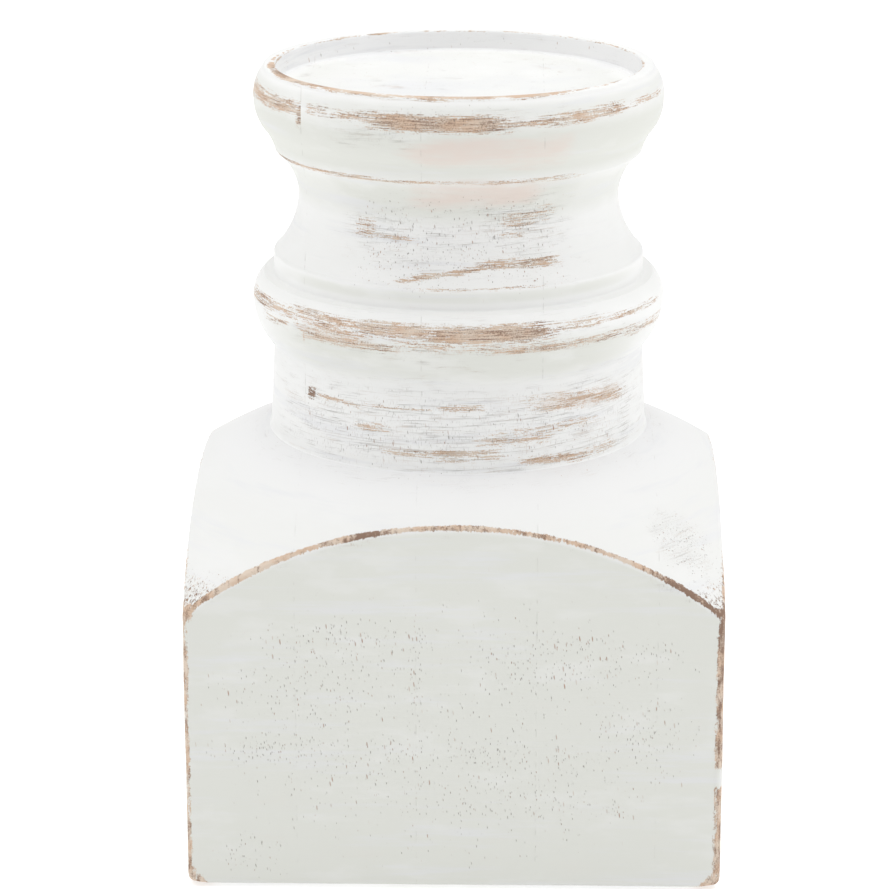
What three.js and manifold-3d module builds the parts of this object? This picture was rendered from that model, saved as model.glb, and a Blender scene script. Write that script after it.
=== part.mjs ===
// Wooden candlestick: a turned column standing on a square block, both glued up from upright boards.
// Millimetres, +Z up. The origin is on the table, under the middle of the block, and -Y is the front.

import * as THREE from 'three';
import { mergeVertices } from 'three/addons/utils/BufferGeometryUtils.js';
import Module from 'manifold-3d';

const wasm = await Module();
wasm.setup();

// ---- Driving dimensions ----

const GAP = 0.3; // clearance between neighbouring pieces, where the glue is
const BOARD = 25.4; // thickness of the stock that both blanks are glued up from
const PAD_STAND = 1.0; // height of the block's underside above the table, on its felt pads

const BLOCK_WIDTH = 114; // 4 1/2 inches square
const ARRIS = 1.5; // radius of the block's eased upright edges
const FOOT_CHAMFER = 0.8; // eased edge round the block's underside
const SEAT_HEIGHT = 87.3; // flat top of the block, where the column stands, above the underside
const SHOULDER = { cornerHeight: 60.5, rise: 3.3 }; // the turned dome, and how far its curve swells

const NECK_RADIUS = 41.6; // foot of the column
const BEAD_RADIUS = 44.9; // ring half way up
const WAIST_RADIUS = 34.85; // narrowest part of the cove
const CUP_RADIUS = 44.4; // widest part of the candle cup
const COLUMN_TOP = 167.8; // top of the rim above the block's underside

const RECESS_RADIUS = 39.6; // takes a 3 inch (76 mm) pillar candle
const RECESS_DEPTH = 4.3;
const RECESS_FILLET = 0.8;

const DOWEL_RADIUS = 12.7;
const DOWEL_LENGTH = 58;
const DOWEL_FLUTES = 18;
const FLUTE_DEPTH = 0.6;
const DOWEL_CHAMFER = 1.5;
const DOWEL_END_ROOM = 1; // spare depth for glue at each end of the dowel

const PAD_RADIUS = 9;
const PAD_INSET = 15; // centre of each pad from the block's faces

const COLUMN_FIRST_SEAM = -32.4; // leftmost glue line of the column
const BLOCK_FIRST_SEAM = -33.3; // leftmost glue line of the block

const TURNS = 72; // facets round a turned surface
const PAD_TURNS = 36; // facets round a felt pad
const ARC_STEPS = 2; // each arc of an outline is drawn with twice this many chords

// ---- Finishes ----

const paint = new THREE.MeshStandardMaterial({ color: 0xf1f1ec, roughness: 0.62, metalness: 0 });
const beech = new THREE.MeshStandardMaterial({ color: 0xcfab7f, roughness: 0.7, metalness: 0 });
const felt = new THREE.MeshStandardMaterial({ color: 0xcfc8ba, roughness: 0.95, metalness: 0 });

// ---- Solids ----

/** Turns a closed geometry into a solid that can be joined and cut. */
function solid(geometry) {
  const bare = geometry.clone();
  bare.deleteAttribute('normal');
  bare.deleteAttribute('uv');
  const merged = mergeVertices(bare, 1e-4);
  const corners = merged.index.array;
  const kept = [];
  for (let i = 0; i < corners.length; i += 3) {
    const [a, b, c] = corners.slice(i, i + 3);
    if (a !== b && b !== c && c !== a) kept.push(a, b, c);
  }
  return new wasm.Manifold(new wasm.Mesh({
    numProp: 3,
    vertProperties: Float32Array.from(merged.attributes.position.array),
    triVerts: Uint32Array.from(kept),
  }));
}

/** Turns a solid back into a geometry. */
function geometryOf(body) {
  const mesh = body.getMesh();
  const geometry = new THREE.BufferGeometry();
  geometry.setAttribute('position', new THREE.BufferAttribute(mesh.vertProperties, mesh.numProp));
  geometry.setIndex(new THREE.BufferAttribute(mesh.triVerts, 1));
  geometry.computeVertexNormals();
  return geometry;
}

/** A surface turned about Z from an outline of (radius, height) that starts and ends on the axis. */
function turned(outline) {
  return new THREE.LatheGeometry(outline.getPoints(ARC_STEPS), TURNS).rotateX(Math.PI / 2);
}

/** An upright cylinder between two heights. */
function post(radius, bottom, top, facets = TURNS) {
  const height = top - bottom;
  const cylinder = new THREE.CylinderGeometry(radius, radius, height, facets);
  return cylinder.rotateX(Math.PI / 2).translate(0, 0, bottom + height / 2);
}

/** Continues an outline with an arc to (radius, height) that swells by `rise` away from the axis. */
function arcTo(outline, radius, height, rise) {
  const from = outline.currentPoint.clone();
  const to = new THREE.Vector2(radius, height);
  const chord = to.clone().sub(from);
  const half = chord.length() / 2;
  const arcRadius = (half * half + rise * rise) / (2 * Math.abs(rise));
  const outward = new THREE.Vector2(chord.y, -chord.x).normalize().multiplyScalar(Math.sign(rise));
  const middle = from.clone().add(to).multiplyScalar(0.5);
  const centre = middle.addScaledVector(outward, Math.abs(rise) - arcRadius);
  const start = from.clone().sub(centre).angle();
  const end = to.clone().sub(centre).angle();
  outline.absarc(centre.x, centre.y, arcRadius, start, end, rise < 0);
}

/** The column's outline, from its foot to the floor of the candle recess. */
function columnOutline() {
  const outline = new THREE.Path();
  outline.moveTo(0, SEAT_HEIGHT + GAP);
  outline.lineTo(NECK_RADIUS, SEAT_HEIGHT + GAP);
  outline.lineTo(NECK_RADIUS - 0.9, 104.7); // slightly tapered neck
  outline.lineTo(NECK_RADIUS - 0.8, 106.5);
  arcTo(outline, BEAD_RADIUS, 117.2, 1.1); // bead
  arcTo(outline, BEAD_RADIUS - 2.5, 122.2, 0.5);
  outline.lineTo(40.5, 122.4); // fillet under the cove
  outline.lineTo(40.4, 126.8);
  outline.lineTo(40.0, 127.1);
  arcTo(outline, WAIST_RADIUS, 139.9, -1.25); // cove
  arcTo(outline, 39.6, 149.3, -1.0);
  outline.lineTo(40.0, 149.8); // arris under the cup
  arcTo(outline, 41.8, 153.7, -0.18);
  arcTo(outline, CUP_RADIUS, 160.1, 0.62); // cup
  arcTo(outline, CUP_RADIUS - 2.45, COLUMN_TOP - 0.2, 0.83);
  outline.lineTo(RECESS_RADIUS + 0.2, COLUMN_TOP); // rim
  outline.lineTo(RECESS_RADIUS, COLUMN_TOP - 0.2);
  const floor = COLUMN_TOP - RECESS_DEPTH;
  outline.lineTo(RECESS_RADIUS - 0.2, floor + RECESS_FILLET);
  outline.lineTo(RECESS_RADIUS - 0.2 - RECESS_FILLET, floor);
  outline.lineTo(0, floor);
  return outline;
}

/** The dome that the lathe leaves on the block, cut off flat at the seat. */
function shoulderOutline() {
  const cornerRadius = BLOCK_WIDTH / Math.SQRT2;
  const dome = new THREE.Path();
  dome.moveTo(0, -BOARD);
  dome.lineTo(cornerRadius, -BOARD);
  dome.lineTo(cornerRadius, SHOULDER.cornerHeight);
  arcTo(dome, NECK_RADIUS, SEAT_HEIGHT, SHOULDER.rise);
  dome.lineTo(0, SEAT_HEIGHT);
  return dome;
}

/** A square with rounded corners, centred on the axis. */
function roundedSquare(width, radius) {
  const reach = width / 2 - radius;
  const square = new THREE.Shape();
  square.absarc(reach, reach, radius, 0, Math.PI / 2);
  square.absarc(-reach, reach, radius, Math.PI / 2, Math.PI);
  square.absarc(-reach, -reach, radius, Math.PI, 1.5 * Math.PI);
  square.absarc(reach, -reach, radius, 1.5 * Math.PI, 2 * Math.PI);
  return square;
}

/** The whole block, before it is divided into boards. */
function blockSolid() {
  const upright = new THREE.ExtrudeGeometry(roundedSquare(BLOCK_WIDTH, ARRIS), {
    depth: SEAT_HEIGHT + BOARD,
    curveSegments: ARC_STEPS,
    bevelThickness: FOOT_CHAMFER,
    bevelSize: FOOT_CHAMFER,
    bevelOffset: -FOOT_CHAMFER,
    bevelSegments: 1,
  }).translate(0, 0, FOOT_CHAMFER);
  return solid(upright).intersect(solid(turned(shoulderOutline())));
}

/** The straight-fluted dowel that holds the column on the block. */
function dowelSolid(bottom, top) {
  const corners = [];
  for (let i = 0; i < DOWEL_FLUTES; i += 1) {
    const pitch = (2 * Math.PI) / DOWEL_FLUTES;
    for (const [share, depth] of [[0, 0], [0.55, 0], [0.78, FLUTE_DEPTH]]) {
      const angle = (i + share) * pitch;
      const radius = DOWEL_RADIUS - depth;
      corners.push(new THREE.Vector2(radius * Math.cos(angle), radius * Math.sin(angle)));
    }
  }
  const section = new THREE.Shape(corners);
  const fluted = new THREE.ExtrudeGeometry(section, { depth: top - bottom, bevelEnabled: false });
  const ends = new THREE.Path();
  ends.moveTo(0, bottom);
  ends.lineTo(DOWEL_RADIUS - DOWEL_CHAMFER, bottom);
  ends.lineTo(DOWEL_RADIUS + GAP, bottom + DOWEL_CHAMFER);
  ends.lineTo(DOWEL_RADIUS + GAP, top - DOWEL_CHAMFER);
  ends.lineTo(DOWEL_RADIUS - DOWEL_CHAMFER, top);
  ends.lineTo(0, top);
  return solid(fluted.translate(0, 0, bottom)).intersect(solid(turned(ends)));
}

/** Divides a blank into boards along X and adds one mesh for each, from left to right. */
function addBoards(group, blank, names, firstSeam) {
  names.forEach((name, i) => {
    const first = i === 0;
    const last = i === names.length - 1;
    const left = first ? -BLOCK_WIDTH : firstSeam + (i - 1) * BOARD + GAP / 2;
    const right = last ? BLOCK_WIDTH : firstSeam + i * BOARD - GAP / 2;
    const slice = new THREE.BoxGeometry(right - left, 2 * BLOCK_WIDTH, 4 * BLOCK_WIDTH);
    slice.translate((left + right) / 2, 0, 0);
    const board = new THREE.Mesh(geometryOf(blank.intersect(solid(slice))), paint);
    board.name = name;
    group.add(board);
  });
}

// ---- Assembly ----

const candlestick = new THREE.Group();
const timber = new THREE.Group();
timber.position.z = PAD_STAND;
candlestick.add(timber);

const dowelBottom = SEAT_HEIGHT - DOWEL_LENGTH / 2;
const dowelTop = SEAT_HEIGHT + DOWEL_LENGTH / 2;
const bore = solid(post(DOWEL_RADIUS + GAP, dowelBottom - DOWEL_END_ROOM, dowelTop + DOWEL_END_ROOM));

const places = ['left_outer', 'left', 'middle', 'right', 'right_outer'];
const blockNames = places.map((place) => `block_board_${place}`);
const columnNames = places.slice(0, 4).map((place) => `column_board_${place}`);
addBoards(timber, blockSolid().subtract(bore), blockNames, BLOCK_FIRST_SEAM);
addBoards(timber, solid(turned(columnOutline())).subtract(bore), columnNames, COLUMN_FIRST_SEAM);

const dowel = new THREE.Mesh(geometryOf(dowelSolid(dowelBottom, dowelTop)), beech);
dowel.name = 'joining_dowel';
timber.add(dowel);

for (const [depthName, y] of [['front', -1], ['back', 1]]) {
  for (const [sideName, x] of [['left', -1], ['right', 1]]) {
    const reach = BLOCK_WIDTH / 2 - PAD_INSET;
    const pad = new THREE.Mesh(post(PAD_RADIUS, 0, PAD_STAND - GAP, PAD_TURNS), felt);
    pad.name = `felt_pad_${depthName}_${sideName}`;
    pad.position.set(x * reach, y * reach, 0);
    candlestick.add(pad);
  }
}

export default candlestick;
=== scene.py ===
"""Looks of a wooden candlestick: a turned column on a square block, in worn white paint.

Sizes named below are in millimetres, with heights above the block's underside. Meshes are in metres, in the
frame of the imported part: +Z up, -Y the front, and the origin on the table under the middle of the block.
"""

import logging
import math
from collections.abc import Callable, Iterable
from dataclasses import dataclass, field
from enum import Enum

import bmesh
import bpy
import numpy as np
from mathutils import Matrix, Vector

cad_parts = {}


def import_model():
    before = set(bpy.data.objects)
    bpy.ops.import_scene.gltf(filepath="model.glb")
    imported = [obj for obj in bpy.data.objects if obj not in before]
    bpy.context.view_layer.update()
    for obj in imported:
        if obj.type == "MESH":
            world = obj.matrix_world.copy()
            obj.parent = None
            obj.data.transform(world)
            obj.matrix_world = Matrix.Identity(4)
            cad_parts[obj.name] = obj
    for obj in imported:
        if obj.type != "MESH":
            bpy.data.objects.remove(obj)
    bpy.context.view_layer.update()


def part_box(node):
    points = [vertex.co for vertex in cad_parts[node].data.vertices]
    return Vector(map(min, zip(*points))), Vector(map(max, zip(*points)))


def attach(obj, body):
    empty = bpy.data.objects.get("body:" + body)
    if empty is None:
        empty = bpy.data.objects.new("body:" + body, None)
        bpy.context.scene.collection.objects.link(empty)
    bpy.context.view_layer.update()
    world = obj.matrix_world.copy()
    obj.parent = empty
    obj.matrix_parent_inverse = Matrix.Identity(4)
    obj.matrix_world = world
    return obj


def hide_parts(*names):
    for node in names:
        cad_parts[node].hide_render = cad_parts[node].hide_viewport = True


LOG = logging.getLogger("candlestick")
MM = 0.001
BODY = "root"
SHARP_ANGLE = math.radians(38)
SAME_SPOT = 1e-7  # metres: points closer together than this are one point

Setting = float | int | tuple | str | bpy.types.NodeSocket
Sockets = dict[str, bpy.types.NodeSocket]
Colour = tuple[float, float, float, float]


def paint_colour(red: int, green: int, blue: int) -> Colour:
    """Gives the linear colour of an 8-bit screen colour.

    Args:
        red: The red value, 0 to 255.
        green: The green value, 0 to 255.
        blue: The blue value, 0 to 255.

    Returns:
        The linear red, green, blue and an alpha of 1.
    """

    def linear(value: int) -> float:
        """Undoes the screen's curve for one value."""
        share = value / 255
        return share / 12.92 if share <= 0.04045 else ((share + 0.055) / 1.055) ** 2.4

    return linear(red), linear(green), linear(blue), 1.0


def smooth_step(low: float, high: float, value: np.ndarray) -> np.ndarray:
    """Rises smoothly from 0 at low to 1 at high, or falls where low is the larger.

    Args:
        low: Where the result is 0.
        high: Where the result is 1.
        value: The values to look up.

    Returns:
        One number from 0 to 1 for each value.
    """
    share = np.clip((value - low) / (high - low), 0.0, 1.0)
    return share * share * (3 - 2 * share)


def ripple(points: np.ndarray, wavelength: float, seed: int) -> np.ndarray:
    """A smooth random field, made of a few plane waves.

    Args:
        points: Places, one row of x, y, z each, in millimetres.
        wavelength: The typical distance between two swells.
        seed: Picks the waves.

    Returns:
        About -1 to 1 for each place.
    """
    draw = np.random.default_rng(seed)
    total = np.zeros(len(points))
    waves = 7
    for _ in range(waves):
        direction = draw.normal(size=3)
        direction /= np.linalg.norm(direction)
        length = wavelength * draw.uniform(0.6, 1.7)
        total += np.sin(points @ direction * (2 * math.pi / length) + draw.uniform(0, 2 * math.pi))
    return total / math.sqrt(waves)


# ---- Node trees ----


class Graph:
    """Adds and links nodes in one tree, so that a recipe reads as a list of steps."""

    def __init__(self, tree: bpy.types.NodeTree) -> None:
        """Keeps the tree that the nodes go into."""
        self.tree = tree

    def add(
        self, kind: str, inputs: dict[str | int, Setting] | None = None, **settings: object
    ) -> bpy.types.Node:
        """Adds one node.

        Args:
            kind: Blender's name for the node's type.
            inputs: What each input is set to or linked from, by name or place.
            **settings: Properties of the node itself.

        Returns:
            The new node.
        """
        node = self.tree.nodes.new(kind)
        for name, value in settings.items():
            setattr(node, name, value)
        for key, value in (inputs or {}).items():
            self.feed(node.inputs[key], value)
        return node

    def feed(self, socket: bpy.types.NodeSocket, value: Setting) -> None:
        """Links a socket to another, or sets its value.

        Args:
            socket: The input socket.
            value: What it is linked from or set to.
        """
        if isinstance(value, bpy.types.NodeSocket):
            self.tree.links.new(value, socket)
        else:
            socket.default_value = value

    def math(self, operation: str, *values: Setting, clamp: bool = False) -> bpy.types.NodeSocket:
        """Adds a Math node and gives its result."""
        node = self.add("ShaderNodeMath", dict(enumerate(values)), operation=operation, use_clamp=clamp)
        return node.outputs[0]

    def times(self, first: Setting, second: Setting) -> bpy.types.NodeSocket:
        """Multiplies two values."""
        return self.math("MULTIPLY", first, second)

    def whole(self, operation: str, *values: Setting) -> bpy.types.NodeSocket:
        """Adds an Integer Math node and gives its result."""
        return self.add("FunctionNodeIntegerMath", dict(enumerate(values)), operation=operation).outputs[0]

    def vector(self, operation: str, *values: Setting) -> bpy.types.NodeSocket:
        """Adds a Vector Math node and gives its vector."""
        return self.add("ShaderNodeVectorMath", dict(enumerate(values)), operation=operation).outputs[0]

    def tilt(self, point: Setting, angle: float) -> bpy.types.NodeSocket:
        """Turns a place about the Y axis, by an angle in radians."""
        inputs = {"Vector": point, "Angle": angle}
        return self.add("ShaderNodeVectorRotate", inputs, rotation_type="Y_AXIS").outputs[0]

    def bump(self, height: Setting) -> bpy.types.NodeSocket:
        """Gives the normal of a relief whose height is in millimetres."""
        return self.add("ShaderNodeBump", {"Height": height, "Distance": MM}).outputs[0]

    def step(
        self, value: Setting, low: float, high: float, to: tuple[float, float] = (0, 1)
    ) -> bpy.types.NodeSocket:
        """Maps a value smoothly from low..high to the range `to`, and holds it beyond.

        Args:
            value: What is mapped.
            low: Where the result is to[0].
            high: Where the result is to[1].
            to: The two results.

        Returns:
            The mapped value.
        """
        inputs = {"Value": value, "From Min": low, "From Max": high, "To Min": to[0], "To Max": to[1]}
        return self.add("ShaderNodeMapRange", inputs, interpolation_type="SMOOTHSTEP").outputs[0]

    def blend(self, share: Setting, first: Setting, second: Setting) -> bpy.types.NodeSocket:
        """Blends two colours.

        Args:
            share: How much of the second colour, 0 to 1.
            first: The colour at 0.
            second: The colour at 1.

        Returns:
            The blended colour.
        """
        node = self.add("ShaderNodeMix", data_type="RGBA", blend_type="MIX")
        sockets = {socket.identifier: socket for socket in node.inputs}
        for name, value in (("Factor_Float", share), ("A_Color", first), ("B_Color", second)):
            self.feed(sockets[name], value)
        return next(socket for socket in node.outputs if socket.identifier == "Result_Color")

    def noise(
        self, point: Setting, stretch: Setting, shift: float, detail: float
    ) -> bpy.types.NodeSocket:
        """Adds a noise whose grain is stretched along the axes.

        Args:
            point: Where it is read, in millimetres.
            stretch: Its frequency along x, y and z, per millimetre.
            shift: Moves it, so that no two are alike.
            detail: How many finer layers it holds.

        Returns:
            The noise, about 0.5 in the middle.
        """
        scaled = self.vector("MULTIPLY_ADD", point, stretch, (shift, shift * 0.7, shift * 1.3))
        inputs = {"Vector": scaled, "Scale": 1.0, "Detail": detail, "Roughness": 0.55}
        return self.add("ShaderNodeTexNoise", inputs).outputs[0]

    def mixture(self, start: Setting, parts: Iterable[tuple[Setting, float]]) -> bpy.types.NodeSocket:
        """Adds noises to a value, each taken as its difference from one half.

        Args:
            start: The value that they are added to.
            parts: Each noise with its weight.

        Returns:
            The sum.
        """
        total = start
        for noise, weight in parts:
            total = self.math("MULTIPLY_ADD", self.math("SUBTRACT", noise, 0.5), weight, total)
        return total


@dataclass(frozen=True)
class Socket:
    """One named input or output of a node group."""

    name: str
    kind: str = "NodeSocketFloat"
    value: float | tuple | None = None


def new_group(
    name: str, kind: str, inputs: Iterable[Socket], outputs: Iterable[Socket]
) -> tuple[Graph, Sockets, Sockets]:
    """Starts a node group.

    Args:
        name: The group's name.
        kind: ShaderNodeTree or GeometryNodeTree.
        inputs: Its inputs, in order.
        outputs: Its outputs, in order.

    Returns:
        The graph, its input sockets by name, and the sockets that its outputs are fed through, by name.
    """
    tree = bpy.data.node_groups.new(name, kind)
    for direction, sockets in (("INPUT", inputs), ("OUTPUT", outputs)):
        for socket in sockets:
            item = tree.interface.new_socket(name=socket.name, in_out=direction, socket_type=socket.kind)
            if socket.value is not None:
                item.default_value = socket.value
    entry = tree.nodes.new("NodeGroupInput")
    leave = tree.nodes.new("NodeGroupOutput")
    given = {socket.name: socket for socket in entry.outputs if socket.name}
    taken = {socket.name: socket for socket in leave.inputs if socket.name}
    return Graph(tree), given, taken


VECTOR = "NodeSocketVector"
COLOUR = "NodeSocketColor"


class Effects:
    """The shader node groups that the finishes share, each built once."""

    def __init__(self) -> None:
        """Builds every group."""
        self.place = self._place()
        self.rubbed = self._rubbed()
        self.scratches = self._scratches()
        self.grain = self._grain()
        self.pores = self._pores()
        self.coat = self._coat()
        self.glue_line = self._glue_line()

    @staticmethod
    def use(graph: Graph, group: bpy.types.NodeTree, **inputs: Setting) -> Sockets:
        """Places a group in a material.

        Args:
            graph: The material's graph.
            group: The node group.
            **inputs: Its inputs, with _ for a space in a name.

        Returns:
            Its outputs by name.
        """
        node = graph.add("ShaderNodeGroup", node_tree=group)
        for key, value in inputs.items():
            graph.feed(node.inputs[key.replace("_", " ")], value)
        return {socket.name: socket for socket in node.outputs}

    @staticmethod
    def _place() -> bpy.types.NodeTree:
        """Gives a point's place in millimetres above the block's underside.

        Returns:
            The node group.
        """
        graph, given, taken = new_group(
            "place_in_mm", "ShaderNodeTree", [Socket("Stand", value=1.0)], [Socket("Point", VECTOR)]
        )
        local = graph.add("ShaderNodeTexCoord").outputs["Object"]
        down = graph.add("ShaderNodeCombineXYZ", {"Z": graph.times(given["Stand"], -1.0)}).outputs[0]
        graph.feed(taken["Point"], graph.vector("MULTIPLY_ADD", local, (1000.0, 1000.0, 1000.0), down))
        return graph.tree

    @staticmethod
    def _rubbed() -> bpy.types.NodeTree:
        """Breaks an amount of rubbing into ragged bare wood, with hairlines of paint left in it.

        Returns:
            The node group.
        """
        graph, given, taken = new_group(
            "rubbed_through",
            "ShaderNodeTree",
            [
                Socket("Point", VECTOR),
                Socket("Rub"),
                Socket("Streak", VECTOR),
                Socket("Fleck", VECTOR),
                Socket("Raggedness", value=1.0),
            ],
            [Socket("Bare"), Socket("Broken Edge")],
        )
        streak = graph.noise(given["Point"], given["Streak"], 11.0, 3.0)
        fleck = graph.noise(given["Point"], given["Fleck"], 37.0, 2.0)
        grit = graph.noise(given["Point"], (3.2, 3.2, 3.2), 5.0, 1.0)
        uneven = graph.mixture(0.0, [(streak, 2.4), (fleck, 1.7), (grit, 1.1)])
        amount = graph.math("MULTIPLY_ADD", uneven, given["Raggedness"], given["Rub"])
        gate = graph.step(given["Rub"], 0.04, 0.24)
        bare = graph.times(graph.step(amount, 0.5, 0.64), gate)
        fringe = graph.times(graph.step(amount, 0.36, 0.5), gate)
        graph.feed(taken["Bare"], bare)
        graph.feed(taken["Broken Edge"], graph.math("SUBTRACT", fringe, bare, clamp=True))
        return graph.tree

    @staticmethod
    def _scratches() -> bpy.types.NodeTree:
        """Level hairlines and upright ticks, gathered in patches where the density allows them.

        Returns:
            The node group.
        """
        graph, given, taken = new_group(
            "fine_scratches",
            "ShaderNodeTree",
            [Socket("Point", VECTOR), Socket("Density"), Socket("Level Share", value=1.0)],
            [Socket("Scratch"), Socket("Tan")],
        )
        tilted = graph.tilt(given["Point"], 0.06)
        level = graph.step(graph.noise(given["Point"], (0.09, 0.09, 7.4), 3.0, 1.0), 0.6, 0.72)
        slanted = graph.step(graph.noise(tilted, (0.13, 0.13, 6.4), 7.0, 1.0), 0.61, 0.73)
        upright = graph.step(graph.noise(given["Point"], (5.4, 5.4, 1.0), 23.0, 1.0), 0.6, 0.72)
        lines = graph.times(graph.math("MAXIMUM", level, slanted), given["Level Share"])
        lines = graph.math("MAXIMUM", lines, graph.times(upright, 0.8))
        patchy = graph.noise(given["Point"], (0.2, 0.2, 0.7), 51.0, 3.0)
        amount = graph.mixture(given["Density"], [(patchy, 2.4)])
        gate = graph.step(given["Density"], 0.03, 0.2)
        shown = graph.times(graph.step(amount, 0.25, 1.15), gate)
        graph.feed(taken["Scratch"], graph.times(lines, shown))
        tan = graph.noise(given["Point"], (0.11, 0.11, 0.4), 91.0, 2.0)
        graph.feed(taken["Tan"], graph.step(tan, 0.48, 0.62))
        return graph.tree

    @staticmethod
    def _grain() -> bpy.types.NodeTree:
        """Wood colour with warmer and darker lines along the way that it was grown or sanded.

        Returns:
            The node group.
        """
        graph, given, taken = new_group(
            "wood_grain",
            "ShaderNodeTree",
            [
                Socket("Point", VECTOR),
                Socket("Streak", VECTOR),
                Socket("Pale", COLOUR),
                Socket("Warm", COLOUR),
                Socket("Dark", COLOUR),
                Socket("Darkness"),
            ],
            [Socket("Colour", COLOUR), Socket("Fibre")],
        )
        broad = graph.step(graph.noise(given["Point"], (0.14, 0.14, 0.3), 71.0, 3.0), 0.42, 0.6)
        fibre = graph.noise(given["Point"], given["Streak"], 19.0, 3.0)
        specks = graph.noise(given["Point"], (3.2, 3.2, 3.2), 29.0, 1.0)
        wood = graph.blend(broad, given["Pale"], given["Warm"])
        depth = graph.mixture(given["Darkness"], [(fibre, 2.8), (specks, 1.2)])
        graph.feed(taken["Colour"], graph.blend(graph.step(depth, 0.02, 0.95), wood, given["Dark"]))
        graph.feed(taken["Fibre"], fibre)
        return graph.tree

    @staticmethod
    def _pores() -> bpy.types.NodeTree:
        """Short upright dashes, in two sizes, where the wood's pores stay open under the paint.

        Returns:
            The node group.
        """
        graph, given, taken = new_group(
            "open_pores",
            "ShaderNodeTree",
            [Socket("Point", VECTOR), Socket("Density")],
            [Socket("Pore"), Socket("Brownness")],
        )
        turned = graph.tilt(given["Point"], 0.13)
        dashes = []
        for cell_size, share in (((2.8, 2.8, 0.8), 1.0), ((2.0, 2.0, 0.4), 0.85)):
            cells = graph.vector("MULTIPLY", turned, cell_size)
            cell = graph.add("ShaderNodeTexVoronoi", {"Vector": cells, "Scale": 1.0, "Randomness": 1.0})
            pick = graph.add("ShaderNodeSeparateColor", {0: cell.outputs["Color"]})
            chance = graph.math("SUBTRACT", graph.times(given["Density"], share), pick.outputs[0])
            width = graph.math("MULTIPLY_ADD", pick.outputs[1], 0.13, 0.11)
            dash = graph.step(graph.math("DIVIDE", cell.outputs["Distance"], width), 1.25, 0.7)
            strength = graph.math("MULTIPLY_ADD", pick.outputs[2], 0.8, 0.2)
            shown = graph.times(dash, graph.step(chance, 0.0, 0.1))
            dashes.append(graph.times(shown, strength))
        graph.feed(taken["Pore"], graph.math("MAXIMUM", *dashes))
        graph.feed(taken["Brownness"], graph.step(pick.outputs[1], 0.66, 0.76))
        return graph.tree

    @staticmethod
    def _coat() -> bpy.types.NodeTree:
        """A brushed coat of paint: greyed with painted shade, smudged and thinner in places, with its brush
        marks.

        Returns:
            The node group.
        """
        graph, given, taken = new_group(
            "brushed_coat_with_shade",
            "ShaderNodeTree",
            [
                Socket("Point", VECTOR),
                Socket("White", COLOUR),
                Socket("Aged", COLOUR),
                Socket("Smudge", COLOUR),
                Socket("Warm", COLOUR),
                Socket("Age"),
                Socket("Thin"),
            ],
            [Socket("Colour", COLOUR), Socket("Brush Marks")],
        )
        marks = graph.noise(given["Point"], (0.09, 0.09, 1.5), 43.0, 4.0)
        bands = graph.noise(given["Point"], (0.025, 0.025, 0.3), 57.0, 3.0)
        drift = graph.noise(given["Point"], (0.07, 0.07, 0.2), 61.0, 3.0)
        # Painted shade: blends the white towards the shaded white by the mesh's amount of painted shade, a
        # little less where the drift noise is low.
        shade_share = graph.times(given["Age"], graph.step(drift, 0.3, 0.5, (0.75, 1.0)))
        paint = graph.blend(shade_share, given["White"], given["Aged"])
        shade = graph.mixture(0.0, [(marks, 0.5), (bands, 1.1)])
        paint = graph.blend(graph.times(graph.step(shade, 0.0, 0.3), 0.55), paint, given["Smudge"])
        thin = graph.mixture(given["Thin"], [(drift, 1.4), (marks, 0.5)])
        thin = graph.times(graph.step(thin, 0.2, 0.95), graph.step(given["Thin"], 0.0, 0.3))
        graph.feed(taken["Colour"], graph.blend(thin, paint, given["Warm"]))
        graph.feed(taken["Brush Marks"], marks)
        return graph.tree

    @staticmethod
    def _glue_line() -> bpy.types.NodeTree:
        """The hairline between one board and the next, which shows only here and there.

        Returns:
            The node group.
        """
        graph, given, taken = new_group(
            "glue_line",
            "ShaderNodeTree",
            [
                Socket("Point", VECTOR),
                Socket("First Seam"),
                Socket("Board", value=25.4),
                Socket("Board Count", value=4.0),
            ],
            [Socket("Line")],
        )
        across = graph.add("ShaderNodeSeparateXYZ", {0: given["Point"]}).outputs["X"]
        boards = graph.math("DIVIDE", graph.math("SUBTRACT", across, given["First Seam"]), given["Board"])
        nearest = graph.math("ROUND", boards)
        away = graph.math("ABSOLUTE", graph.math("SUBTRACT", boards, nearest))
        away = graph.times(away, given["Board"])
        broken = graph.step(graph.noise(given["Point"], (0.3, 0.3, 0.5), 77.0, 3.0), 0.5, 0.66)
        line = graph.times(graph.step(away, 0.14, 0.03), broken)
        last = graph.math("SUBTRACT", given["Board Count"], 1.5)
        inside = graph.times(graph.step(nearest, -0.6, -0.4), graph.math("LESS_THAN", nearest, last))
        graph.feed(taken["Line"], graph.times(line, inside))
        return graph.tree


# ---- Finishes ----


class Mark(Enum):
    """The wear and painted shade that a mesh carries point by point, and the name of its attribute."""

    RUB = "rub"
    SCRATCH = "scratch"
    THIN = "thin_paint"
    PORE = "pore"
    # Painted shade: greys the paint towards a greenish grey where shade falls.
    AGE = "aged_paint"
    DARK = "darkened_wood"


class Wearing(Enum):
    """Which way a piece was worn, as the frequency of its streaks, flecks and wood fibres.

    Each is given per millimetre along x, y and z, and is lowest along the streaks.
    """

    ROUND_THE_AXIS = ((0.13, 0.13, 4.1), (0.65, 0.65, 6.4), (0.17, 0.17, 5.2))
    UPRIGHT = ((2.3, 2.3, 0.4), (1.3, 1.3, 1.3), (0.9, 0.9, 0.3))


def new_material(name: str) -> tuple[bpy.types.Material, Graph, bpy.types.Node]:
    """Starts a material with an empty graph, a Principled shader and an output.

    Args:
        name: The material's name.

    Returns:
        The material, its graph and its shader node.
    """
    material = bpy.data.materials.new(name)
    material.use_nodes = True
    graph = Graph(material.node_tree)
    graph.tree.nodes.clear()
    shader = graph.add("ShaderNodeBsdfPrincipled")
    graph.add("ShaderNodeOutputMaterial", {"Surface": shader.outputs[0]})
    return material, graph, shader


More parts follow.
